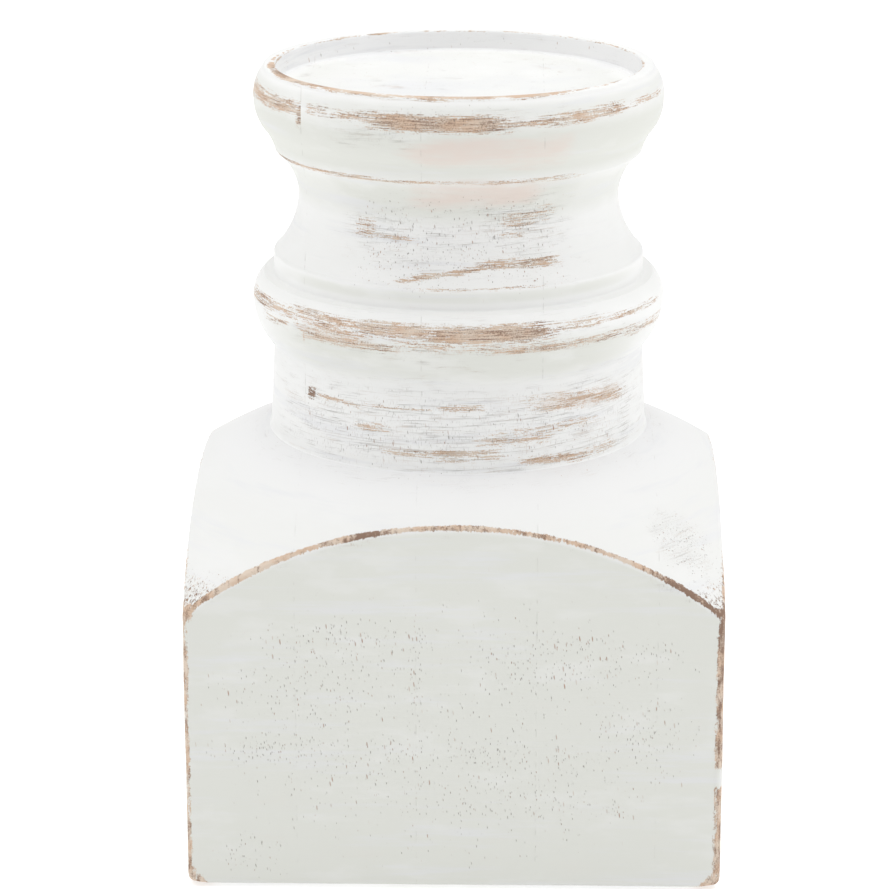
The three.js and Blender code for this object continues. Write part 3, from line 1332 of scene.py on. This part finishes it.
@dataclass
class Column:
    """The turned column: neck, bead, fillet, cove, arris and cup with its candle recess, in four boards."""

    sizes: FrameSizes
    joint: Joint
    places: tuple[str, ...]
    neck_top: float = 104.4
    bead_radius: float = 45.1
    bead_height: float = 117.2
    bead_top: float = 122.1
    fillet_radius: float = 40.5
    fillet_foot: float = 122.8
    fillet_top: float = 126.5
    waist_radius: float = 34.85
    waist_height: float = 139.9
    arris_radius: float = 40.0
    arris_height: float = 149.8
    cup_foot_radius: float = 41.8
    cup_foot: float = 153.7
    cup_radius: float = 44.4
    cup_height: float = 160.1
    recess_radius: float = 39.6
    recess_depth: float = 4.3
    rubbed_side: float = -18.0  # degrees round from the front, where the rim is rubbed most
    facets: int = 420
    unevenness: float = 0.16 * MM
    swell_length: float = 35 * MM

    def outline(self) -> Outline:
        """Draws the section, from the top of the dowel's bore round to the floor of the recess.

        Returns:
            The section.
        """
        joint = self.joint
        foot = self.sizes.seat_height
        rim = self.sizes.rim_height
        floor = rim - self.recess_depth
        path = Outline().start(0, foot + joint.bore_depth)
        path.line(joint.bore_radius, foot + joint.bore_depth, 4).line(joint.bore_radius, foot, 4)
        path.line(joint.neck_radius + joint.fillet, foot, 4)
        path.arc(joint.neck_radius - 0.1, foot + 0.9, -0.08)
        path.line(joint.neck_radius - 0.9, self.neck_top)
        path.arc(joint.neck_radius - 0.8, self.neck_top + 2.2, -0.12)
        path.arc(self.bead_radius, self.bead_height, 1.1)
        path.arc(self.bead_radius - 2.4, self.bead_top, 0.55)
        path.arc(self.fillet_radius + 0.25, self.bead_top + 0.3, -0.05)
        path.arc(self.fillet_radius, self.fillet_foot, -0.08)
        path.line(self.fillet_radius - 0.05, self.fillet_top)
        path.arc(self.fillet_radius - 0.5, self.fillet_top + 0.6, 0.1)
        path.arc(self.waist_radius, self.waist_height, -1.25)
        path.arc(self.arris_radius - 0.45, self.arris_height - 0.6, -1.0)
        path.arc(self.arris_radius, self.arris_height, 0.12)
        path.arc(self.cup_foot_radius, self.cup_foot, -0.18)
        path.arc(self.cup_radius, self.cup_height, 0.62)
        path.arc(self.cup_radius - 2.1, rim - 0.55, 0.78)
        path.arc(self.cup_radius - 2.7, rim, 0.2)
        path.line(self.recess_radius + 0.5, rim, 0.25)
        path.arc(self.recess_radius, rim - 0.5, 0.15)
        path.line(self.recess_radius - 0.55, floor + 0.9, 0.4)
        path.arc(self.recess_radius - 1.5, floor, -0.36)
        return path.line(0, floor, 3.5)

    def rim_wear(self, places: np.ndarray, angle: np.ndarray) -> np.ndarray:
        """Works out how far the rim is rubbed: most at the front and left, little at the back.

        Args:
            places: The points.
            angle: Their angles from the front, in degrees.

        Returns:
            The amount at each point.
        """
        radius = np.hypot(places[:, 0], places[:, 1])
        below = self.sizes.rim_height - places[:, 2]
        front = smooth_step(94, 42, np.abs(angle - self.rubbed_side))
        out = np.hypot(np.clip(radius - self.recess_radius, -0.2, None), below * 1.5)
        reach = 0.55 + 2.6 * front + 0.1 * ripple(places, 9.0, 40)
        inside = radius < self.recess_radius - 0.05
        spots = sum(spot.amount_at(angle, np.zeros_like(angle)) for spot in RIM_SPOTS)
        amount = 0.38 + 0.54 * front + spots + 0.12 * ripple(places, 7.0, 41)
        return amount * smooth_step(reach, reach * 0.65, out) * ~inside

    def wear(self, places: np.ndarray, board: str) -> dict[Mark, np.ndarray]:
        """Works out the wear and the painted shade at points of one board.

        Args:
            places: The points.
            board: Which board they are on.

        Returns:
            The amount of each mark at each point.
        """
        angle = np.degrees(np.arctan2(places[:, 0], -places[:, 1]))
        height = places[:, 2]
        radius = np.hypot(places[:, 0], places[:, 1])
        under_recess = self.sizes.rim_height - self.recess_depth - 1
        outside = (radius > self.waist_radius - 1) & (height > self.sizes.seat_height + 0.01)
        outside &= (radius > self.recess_radius + 0.25) | (height < under_recess)
        in_recess = (radius < self.recess_radius) & ~outside & (height > under_recess)

        def most(front: Iterable[Strip], back: Iterable[Scatter] = ()) -> np.ndarray:
            """Takes the greatest amount of any strip at each point."""
            strips = [*front, *(strip for scatter in back for strip in scatter.strips())]
            return np.max([strip.amount_at(angle, height) for strip in strips], axis=0) * outside

        rub = most((strip for strip in FRONT_RUBS if strip.board in ("", board)), BACK_RUBS)
        rim_rub = self.rim_wear(places, angle)
        scratches = [most(FRONT_SCRATCHES, BACK_SCRATCHES), 0.55 * np.clip(rub, 0, 1), 0.3 * in_recess]
        pale = 0.15 * np.maximum(rim_rub > 0.1, height < self.neck_top - 0.4)
        # Painted shade on the recess floor: 0.4 in the middle, rising to 0.6 towards its edge, and fading
        # out where the floor curves up into the wall.
        recess_floor_shade = (0.4 + 0.2 * smooth_step(22, 36, radius)) * smooth_step(38.6, 37.6, radius)
        return {
            Mark.RUB: np.maximum(rub, rim_rub),
            Mark.SCRATCH: np.max(scratches, axis=0),
            Mark.THIN: most(FRONT_THIN, BACK_THIN),
            Mark.PORE: np.maximum(0.12 * in_recess, most(FRONT_OPEN, BACK_OPEN)),
            # Painted shade: an even greying of the whole outside, the greenish-grey strips where shade
            # falls, and the recess floor.
            Mark.AGE: np.max([most(PAINTED_SHADE_STRIPS), 0.28 * outside, in_recess * recess_floor_shade], axis=0),
            Mark.DARK: 0.22 + 0.12 * ripple(places, 16.0, 42) - pale + most(FRONT_DIRTY),
        }

    def build(self, lathe: Lathe, paint: bpy.types.Material) -> list[bpy.types.Object]:
        """Turns the column and saws it into its boards.

        Args:
            lathe: What turns it.
            paint: Its finish.

        Returns:
            The boards, from left to right.
        """
        blank = lathe.turn(
            "column",
            self.outline(),
            self.sizes.stand,
            paint,
            Facets=self.facets,
            Unevenness=self.unevenness,
            Swell_Length=self.swell_length,
        )
        seams = self.sizes.column_seams
        return make_boards(blank, "column", self.places, seams, paint, self.wear, self.sizes.stand)


def make_boards(
    blank: bpy.types.Mesh,
    kind: str,
    places: tuple[str, ...],
    seams: tuple[float, ...],
    paint: bpy.types.Material,
    wear: Callable[[np.ndarray, str], dict[Mark, np.ndarray]],
    stand: float,
) -> list[bpy.types.Object]:
    """Saws a blank into boards, marks their wear and painted shade and puts them in the frame.

    Args:
        blank: The whole shape.
        kind: column or block.
        places: The boards' places, from left to right.
        seams: The glue lines between them, in millimetres.
        paint: Their finish.
        wear: Gives the wear and the painted shade at points of a board.
        stand: The height of the block's underside above the table.

    Returns:
        The boards.
    """
    edges = [None, *(seam * MM for seam in seams), None]
    boards = []
    for place, left, right in zip(places, edges, edges[1:]):
        board = finish_mesh(saw(blank, left, right), f"painted_{kind}_board_{place}", paint)
        mark_mesh(board.data, wear(places_of(board.data, stand), place))
        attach(board, BODY)
        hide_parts(f"{kind}_board_{place}")
        boards.append(board)
    bpy.data.meshes.remove(blank)
    return boards


@dataclass(frozen=True)
class Patch:
    """A patch of wear on an upright face or along its arched edge, seen square on."""

    across: float  # middle, from left to right
    height: float
    reach: float  # half its width
    spread: float  # half its height
    amount: float

    def amount_at(self, across: np.ndarray, height: np.ndarray) -> np.ndarray:
        """Gives the wear at points on the face.

        Args:
            across: Their places from left to right.
            height: Their heights.

        Returns:
            The amount at each point.
        """
        away = np.hypot((across - self.across) / self.reach, (height - self.height) / self.spread)
        return self.amount * smooth_step(1.3, 0.45, away)


# Where the pores of the front face stay open.
FRONT_PORES = (
    Patch(-22, 54, 22, 6.5, 0.62),
    Patch(26, 51, 23, 6.5, 0.85),
    Patch(-8, 44, 1.6, 19, 0.9),
    Patch(-34, 31, 18, 4, 0.75),
    Patch(-10, 30.5, 7, 3, 1.0),
    Patch(8, 30, 10, 3.5, 1.0),
    Patch(25, 29, 12, 3, 0.7),
    Patch(12, 18.5, 22, 3.5, 0.7),
    Patch(31, 17.5, 8, 2.5, 0.75),
    Patch(-43, 6, 8, 5, 0.6),
    Patch(-30, 43, 24, 8, 0.45),
    Patch(40, 36, 12, 8, 0.62),
    Patch(0, 25, 48, 11, 0.42),
    Patch(0, 35, 56, 34, 0.2),
)
# Where the front's arched edge is worn widest, and where its wood is darkest.
FRONT_ARCH_WIDE = (Patch(-36, 62, 21, 12, 0.55), Patch(50, 60, 10, 10, 0.2), Patch(-54, 58, 6, 6, 0.4))
FRONT_ARCH_DARK = (
    Patch(-17, 74, 5.5, 9, 0.75),
    Patch(8, 78, 22, 8, 0.16),
    Patch(48, 60, 12, 12, 0.8),
    Patch(-52, 60, 6, 6, 0.5),
)


@dataclass(frozen=True)
class Arris:
    """How one upright edge of the block is worn."""

    side: float  # -1 for the left, 1 for the right
    depth: float  # -1 for the front, 1 for the back
    width: float
    amount: float
    darkness: float


@dataclass
class Block:
    """The square block with its turned dome, in five boards."""

    sizes: FrameSizes
    joint: Joint
    places: tuple[str, ...]
    corner_height: float = 60.5  # of the dome where it meets the block's corners
    dome_rise: float = 3.3  # how far the dome's curve swells between corner and neck
    arris: float = 1.5  # radius of the upright edges
    face_places: int = 150  # points along each face
    corner_places: int = 9
    eased: float = 0.6  # how far the arched edges are rubbed back
    spared_height: float = 25.0  # where the front right edge has kept its paint
    arrises: tuple[Arris, ...] = (
        Arris(-1, -1, 1.6, 0.92, 0.3),
        Arris(1, -1, 2.5, 1.05, 0.4),
        Arris(-1, 1, 1.9, 0.8, 0.4),
        Arris(1, 1, 2.1, 0.85, 0.4),
    )

    def dome_height(self, radius: np.ndarray) -> np.ndarray:
        """Gives the dome's height at a distance from the axis.

        Args:
            radius: Distances from the axis.

        Returns:
            Heights above the underside.
        """
        corner = np.array((self.sizes.half_width * math.sqrt(2), self.corner_height))
        neck = np.array((self.joint.neck_radius, self.sizes.seat_height))
        chord = neck - corner
        half = float(np.linalg.norm(chord)) / 2
        curve = (half * half + self.dome_rise**2) / (2 * self.dome_rise)
        outward = np.array((chord[1], -chord[0])) / (2 * half)
        centre = (corner + neck) / 2 + outward * (self.dome_rise - curve)
        return centre[1] + np.sqrt(curve**2 - (radius - centre[0]) ** 2)

    def perimeter(self) -> np.ndarray:
        """Lays points round the block's square section, closer together near its eased corners.

        Returns:
            One row of x and y for each point.
        """
        reach = self.sizes.half_width - self.arris
        lean = 1.2  # radians: how strongly the points draw together
        side = reach * np.sin(np.linspace(-lean, lean, self.face_places)) / math.sin(lean)
        turns = np.linspace(0, math.pi / 2, self.corner_places)[1:-1]
        face = np.stack([np.full_like(side, self.sizes.half_width), side], 1)
        corner = reach + self.arris * np.stack([np.cos(turns), np.sin(turns)], 1)
        quarter = np.vstack([face, corner])
        spin = np.array(((0.0, -1.0), (1.0, 0.0)))
        return np.vstack([quarter @ np.linalg.matrix_power(spin, i).T for i in range(4)])

    def rings(self) -> np.ndarray:
        """Lays the block's points in rings, from the bore's floor over the dome to the underside.

        Returns:
            The points in millimetres, as ring, place round the ring, and x, y, z.
        """
        edge = self.perimeter()
        ones = np.ones(len(edge))
        reach = np.linalg.norm(edge, axis=1)
        half = self.sizes.half_width
        seat = self.sizes.seat_height
        arch = np.column_stack([edge, self.dome_height(reach)])
        to_corner = 2 * half - np.abs(edge).sum(axis=1)
        back = self.eased * (1 + 0.35 * ripple(arch, 14.0, 21) + 0.25 * ripple(arch, 4.0, 22))
        back = np.clip(back, 0.2, 1.3) + 0.7 * smooth_step(7.0, 1.0, to_corner)
        joint = self.joint
        seat_edge = joint.neck_radius + joint.fillet
        lift = seat - float(self.dome_height(np.array(seat_edge)))
        rows: list[tuple[np.ndarray, np.ndarray]] = [
            (0 * ones, (seat - joint.bore_depth) * ones),
            (joint.bore_radius * ones, (seat - joint.bore_depth) * ones),
            (joint.bore_radius * ones, seat * ones),
            (seat_edge * ones, seat * ones),
        ]
        inner = reach - back
        for share in 1 - (1 - np.linspace(0, 1, 44)[1:]) ** 1.35:
            radius = seat_edge + (inner - seat_edge) * share
            lifted = lift * smooth_step(seat_edge + 3, seat_edge, radius)
            rows.append((radius, self.dome_height(radius) + lifted))
        lip = self.dome_height(inner)
        peak = self.dome_height(reach)
        wall_top = peak - back
        for share in np.linspace(0, 1, 7)[1:]:
            turn_in, turn_down = (1 - share) ** 2, share**2
            middle = 1 - turn_in - turn_down
            radius = turn_in * inner + (middle + turn_down) * reach
            rows.append((radius, turn_in * lip + middle * peak + turn_down * wall_top))
        foot = 0.35 + 0.08 * ripple(arch, 9.0, 23) + 0.9 * smooth_step(5.0, 0.5, to_corner)
        foot_top = 0.4 + 1.8 * smooth_step(5.0, 0.5, to_corner)
        for share in np.append(np.array((0.3, 0.65, 1.1, 1.7, 2.6)) / 60, np.linspace(0.06, 1, 52)):
            rows.append((reach, wall_top + (foot_top - wall_top) * share))
        for turn in np.linspace(0, math.pi / 2, 8)[1:]:
            rows.append((reach * (1 - foot * (1 - math.cos(turn)) / half), foot_top * (1 - math.sin(turn))))
        for share in (0.75, 0.4, 0.0):
            rows.append((reach * (1 - foot / half) * share, 0 * ones))
        direction = edge / reach[:, None]
        rings = [np.column_stack([direction * radius[:, None], height]) for radius, height in rows]
        return self._hand_sanded(np.stack(rings))

    def _hand_sanded(self, rings: np.ndarray) -> np.ndarray:
        """Pulls the faces in by a few hundredths here and there, as hand sanding leaves them.

        Args:
            rings: The points.

        Returns:
            The moved points.
        """
        flat = rings.reshape(-1, 3)
        hollow = 0.05 * (1 + ripple(flat, 38.0, 31)) + 0.02 * (1 + ripple(flat, 12.0, 32))
        outer = np.max(np.abs(flat[:, :2]), axis=1)
        on_wall = smooth_step(self.sizes.half_width - 0.4, self.sizes.half_width - 0.05, outer)
        moved = flat.copy()
        moved[:, :2] *= (1 - on_wall * np.clip(hollow, 0, 0.2) / self.sizes.half_width)[:, None]
        return moved.reshape(rings.shape)

    def wear(self, places: np.ndarray, board: str) -> dict[Mark, np.ndarray]:
        """Works out the wear and the painted shade at points of one board.

        Args:
            places: The points.
            board: Which board they are on, which makes no difference here.

        Returns:
            The amount of each mark at each point.
        """
        half = self.sizes.half_width
        across, deep, height = places.T
        radius = np.hypot(across, deep)
        outer = np.maximum(np.abs(across), np.abs(deep))
        dome = self.dome_height(np.minimum(radius, half * math.sqrt(2)))
        swell, fine = ripple(places, 17.0, 51), ripple(places, 5.0, 52)
        front = smooth_step(-half + 4, -half + 2, deep) * smooth_step(0.5, 1.5, height)
        at_back = smooth_step(half - 4, half - 2, deep)
        to_corner = 2 * half - np.abs(across) - np.abs(deep)

        def patches(some: Iterable[Patch]) -> np.ndarray:
            """Takes the greatest amount of any patch at each point."""
            return np.max([patch.amount_at(across, height) for patch in some], axis=0)

        arch_away = np.hypot(half - outer, np.clip(dome - height, 0, None))
        sides = 0.3 + 0.25 * smooth_step(26, 4, to_corner) + 0.22 * swell
        arch_wide = 0.45 + front * patches(FRONT_ARCH_WIDE) + 0.13 * swell + 0.07 * fine
        arch = smooth_step(arch_wide + 0.6, arch_wide * 0.5, arch_away)
        arch *= np.where(front > 0.5, 1.0, np.where(at_back > 0.5, 0.85 + 0.15 * swell, sides))
        above_foot = height + 1.1 * np.clip(to_corner - 1.2, 0, None)
        foot = smooth_step(5.0, 3.0, above_foot) * (0.85 + 0.15 * fine)
        point = np.hypot(to_corner * 0.85, np.clip(dome - height, 0, None) * 0.85)
        rub = np.max([arch, foot, (0.8 + 0.2 * fine) * smooth_step(3.6, 1.4, point)], axis=0)
        dark = 0.14 + 0.14 * swell + front * patches(FRONT_ARCH_DARK)
        for arris in self.arrises:
            away = np.hypot(half - arris.side * across, half - arris.depth * deep)
            amount = (arris.amount + 0.26 * swell + 0.16 * fine) * smooth_step(arris.width, 0.62, away)
            rub = np.maximum(rub, amount * smooth_step(dome + 1, dome - 2, height))
            dark = np.maximum(dark, arris.darkness * smooth_step(4, 1, away))
        spared = smooth_step(3.2, 1.4, np.abs(height - self.spared_height))
        spared = spared * (across > half - 4) * (deep < 4 - half)
        specks = smooth_step(14, 3, to_corner) * smooth_step(1.5, 0.5, dome - height) * (outer < half - 0.4)
        specks *= np.where((across < 0) == (deep < 0), 1.0, 0.8)
        wall = smooth_step(half - 0.6, half - 0.25, outer) * smooth_step(0.3, 1.6, dome - height)
        inward = smooth_step(0.8, 3.0, np.minimum(to_corner, height))
        elsewhere = np.clip(0.26 + 0.22 * ripple(places * (0.4, 0.4, 1.0), 14.0, 53), 0, 1)
        pore = wall * inward * np.where(front > 0.5, patches(FRONT_PORES), elsewhere)
        neck = self.joint.neck_radius
        streak = (1 - wall) * 0.5 * smooth_step(neck + 10, neck + 0.5, radius)
        smudge = smooth_step(10, 3, np.hypot(across - 48, deep + 46)) * (1 - wall)
        ticks = 0.75 * front * wall * smooth_step(3.5, 1.0, arch_away) * (0.6 + 0.4 * swell)
        dark += 0.7 * specks * (rub < 0.3)
        return {
            Mark.RUB: np.maximum(rub, 0.45 * specks) * (1 - spared),
            Mark.SCRATCH: np.max([streak, smudge, ticks, 0.1 * wall], axis=0),
            Mark.THIN: 0.1 * wall,
            Mark.PORE: np.max([pore, specks, 0.8 * smudge, 0.25 * streak], axis=0),
            # Painted shade: the greenish grey on the upright faces and, lighter, on the dome's outer slope.
            Mark.AGE: np.maximum(wall, 0.36 * smooth_step(46, 64, radius)),
            Mark.DARK: dark,
        }

    def build(self, paint: bpy.types.Material) -> list[bpy.types.Object]:
        """Makes the block and saws it into its boards.

        Args:
            paint: Its finish.

        Returns:
            The boards, from left to right.
        """
        rings = self.rings()
        rings[..., 2] += self.sizes.stand
        form = take_up(ring_mesh("block_rings", rings * MM))
        bmesh.ops.remove_doubles(form, verts=form.verts, dist=SAME_SPOT)
        blank = bpy.data.meshes.new("block")
        form.to_mesh(blank)
        form.free()
        seams = self.sizes.block_seams
        return make_boards(blank, "block", self.places, seams, paint, self.wear, self.sizes.stand)


@dataclass
class Dowel:
    """The fluted beech dowel inside the joint."""

    node: str = "joining_dowel"
    flutes: int = 18
    facets_per_flute: int = 10
    flute_depth: float = 0.6
    chamfer: float = 1.5

    def build(self, lathe: Lathe, beech: bpy.types.Material) -> bpy.types.Object:
        """Turns the dowel.

        Args:
            lathe: What turns it.
            beech: Its finish.

        Returns:
            The dowel.
        """
        low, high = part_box(self.node)
        radius, bottom, top = high.x / MM, low.z / MM, high.z / MM
        path = Outline(spacing=2.5).start(0, bottom).line(radius - self.chamfer, bottom)
        path.line(radius, bottom + self.chamfer, 0.5).line(radius, top - self.chamfer)
        path.line(radius - self.chamfer, top, 0.5).line(0, top)
        share = self.flute_depth / radius
        facets = self.flutes * self.facets_per_flute
        mesh = lathe.turn(
            "dowel", path, 0.0, beech, Facets=facets, Flutes=self.flutes, Flute_Share=share
        )
        dowel = finish_mesh(take_up(mesh), "fluted_dowel", beech)
        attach(dowel, BODY)
        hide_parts(self.node)
        return dowel


@dataclass
class Pads:
    """The four felt pads under the block."""

    sizes: FrameSizes
    corners: tuple[str, ...] = ("front_left", "front_right", "back_left", "back_right")
    edge_round: float = 0.3
    bulge: float = 0.12
    swell_length: float = 2.5 * MM
    facets: int = 96

    def build(self, lathe: Lathe, felt: bpy.types.Material) -> list[bpy.types.Object]:
        """Makes the pads.

        Args:
            lathe: What turns them.
            felt: Their finish.

        Returns:
            The pads.
        """
        pads = []
        for number, corner in enumerate(self.corners):
            low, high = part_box(f"felt_pad_{corner}")
            middle = (low + high) / 2
            radius = (high.x - low.x) / 2 / MM - self.bulge
            path = Outline(spacing=0.6).start(0, 0).line(radius - self.edge_round, 0)
            path.arc(radius - self.edge_round, self.sizes.stand, self.edge_round).line(0, self.sizes.stand)
            mesh = lathe.turn(
                "pad",
                path,
                0.0,
                felt,
                Facets=self.facets,
                Unevenness=self.bulge * MM,
                Swell_Length=self.swell_length,
                Seed=float(number),
            )
            mesh.transform(Matrix.Translation((middle.x, middle.y, 0.0)))
            pad = finish_mesh(take_up(mesh), f"felt_disc_{corner}", felt)
            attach(pad, BODY)
            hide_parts(f"felt_pad_{corner}")
            pads.append(pad)
        return pads


# ---- Studio ----


@dataclass(frozen=True)
class Lamp:
    """A square softbox that looks at the object."""

    name: str
    place: tuple[float, float, float]
    size: float
    power: float

    def build(self, target: Vector) -> None:
        """Hangs the lamp.

        Args:
            target: The point that it faces.
        """
        data = bpy.data.lights.new(self.name, "AREA")
        data.shape = "SQUARE"
        data.size = self.size
        data.energy = self.power
        lamp = bpy.data.objects.new(self.name, data)
        lamp.location = self.place
        lamp.rotation_euler = (target - Vector(self.place)).to_track_quat("-Z", "Y").to_euler()
        bpy.context.scene.collection.objects.link(lamp)


@dataclass
class Studio:
    """The camera, the floor and the light."""

    focal_length: float = 140.3
    sensor_width: float = 36.0
    distance: float = 773.1
    pitch: float = 16.57  # degrees below level
    azimuth: float = 1.20  # degrees round to the right of square-on
    aim_height: float = 82.5
    aside: float = -3.07  # how far left of the axis the camera looks
    floor_size: float = 12.0
    sky: float = 0.5
    overhead: float = 2.3
    overhead_spread: float = 90.0  # degrees across
    lamp_target: tuple[float, float, float] = (0.0, 0.0, 0.09)
    lamps: tuple[Lamp, ...] = (
        Lamp("left_softbox", (-1.5, 0.1, 0.45), 1.0, 3.7),
        Lamp("right_softbox", (1.5, 0.1, 0.45), 1.0, 4.5),
    )

    def camera(self) -> None:
        """Sets up the camera."""
        data = bpy.data.cameras.new("camera")
        data.lens = self.focal_length
        data.sensor_width = self.sensor_width
        data.clip_start = 0.01
        camera = bpy.data.objects.new("camera", data)
        pitch, azimuth = math.radians(self.pitch), math.radians(self.azimuth)
        level = -self.distance * math.cos(pitch)
        place = Vector((self.aside, level, self.aim_height + self.distance * math.sin(pitch))) * MM
        camera.location = Matrix.Rotation(azimuth, 3, "Z") @ place
        camera.rotation_euler = (math.pi / 2 - pitch, 0.0, azimuth)
        bpy.context.scene.collection.objects.link(camera)
        bpy.context.scene.camera = camera

    def floor(self) -> None:
        """Lays the floor."""
        half = self.floor_size / 2
        mesh = bpy.data.meshes.new("floor")
        corners = [(-half, -half, 0), (half, -half, 0), (half, half, 0), (-half, half, 0)]
        mesh.from_pydata(corners, [], [(0, 1, 2, 3)])
        acrylic = Backdrop("pale_floor", (0.62, 0.62, 0.62, 1.0), (0.6, 0.6, 0.6, 1.0), glow=0.55)
        mesh.materials.append(acrylic.build())
        floor = bpy.data.objects.new("floor", mesh)
        bpy.context.scene.collection.objects.link(floor)

    def light(self) -> None:
        """Lights the scene with a white sky and the lamps."""
        scene = bpy.context.scene
        scene.view_settings.view_transform = "Standard"
        world = bpy.data.worlds.new("white_studio")
        world.use_nodes = True
        background = world.node_tree.nodes["Background"]
        background.inputs["Color"].default_value = (1.0, 1.0, 1.0, 1.0)
        background.inputs["Strength"].default_value = self.sky
        scene.world = world
        data = bpy.data.lights.new("overhead_light", "SUN")
        data.energy = self.overhead
        data.angle = math.radians(self.overhead_spread)
        scene.collection.objects.link(bpy.data.objects.new("overhead_light", data))
        for lamp in self.lamps:
            lamp.build(Vector(self.lamp_target))

    def build(self) -> None:
        """Builds the whole studio."""
        self.camera()
        self.floor()
        self.light()


def report(pieces: Iterable[bpy.types.Object]) -> None:
    """Logs each piece with its count of faces."""
    for piece in pieces:
        LOG.info("%s: %d faces", piece.name, len(piece.data.polygons))


def main() -> None:
    """Builds the candlestick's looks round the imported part."""
    logging.basicConfig(level=logging.INFO, format="%(name)s: %(message)s")
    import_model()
    places = ("left_outer", "left", "middle", "right", "right_outer")
    sizes = FrameSizes.measure(places)
    joint = Joint()
    Studio().build()

    effects = Effects()
    lathe = Lathe()
    column_paint = WornPaint(
        name="column_whitewash",
        white=paint_colour(237, 237, 237),
        # The greenish grey that stands for the white in painted shade.
        aged=paint_colour(214, 215, 209),
        wearing=Wearing.ROUND_THE_AXIS,
        raggedness=1.0,
        level_scratches=1.0,
        glue_shade=0.2,
        stand=sizes.stand,
        seams=sizes.column_seams,
    )
    block_paint = WornPaint(
        name="block_whitewash",
        white=paint_colour(229, 229, 229),
        # The greenish grey that stands for the white in painted shade.
        aged=paint_colour(214, 215, 209),
        wearing=Wearing.UPRIGHT,
        raggedness=0.55,
        level_scratches=0.55,
        glue_shade=0.1,
        stand=sizes.stand,
        seams=sizes.block_seams,
    )
    beech = BareBeech(
        name="dowel_beech",
        pale=paint_colour(216, 184, 146),
        warm=paint_colour(204, 164, 122),
        dark=paint_colour(160, 120, 84),
    )
    felt = Felt("wool_felt", light=paint_colour(206, 199, 185), dark=paint_colour(150, 142, 128))

    report(Column(sizes, joint, places[:-1]).build(lathe, column_paint.build(effects)))
    report(Block(sizes, joint, places).build(block_paint.build(effects)))
    report([Dowel().build(lathe, beech.build(effects))])
    report(Pads(sizes).build(lathe, felt.build(effects)))


if __name__ == "__main__":
    main()
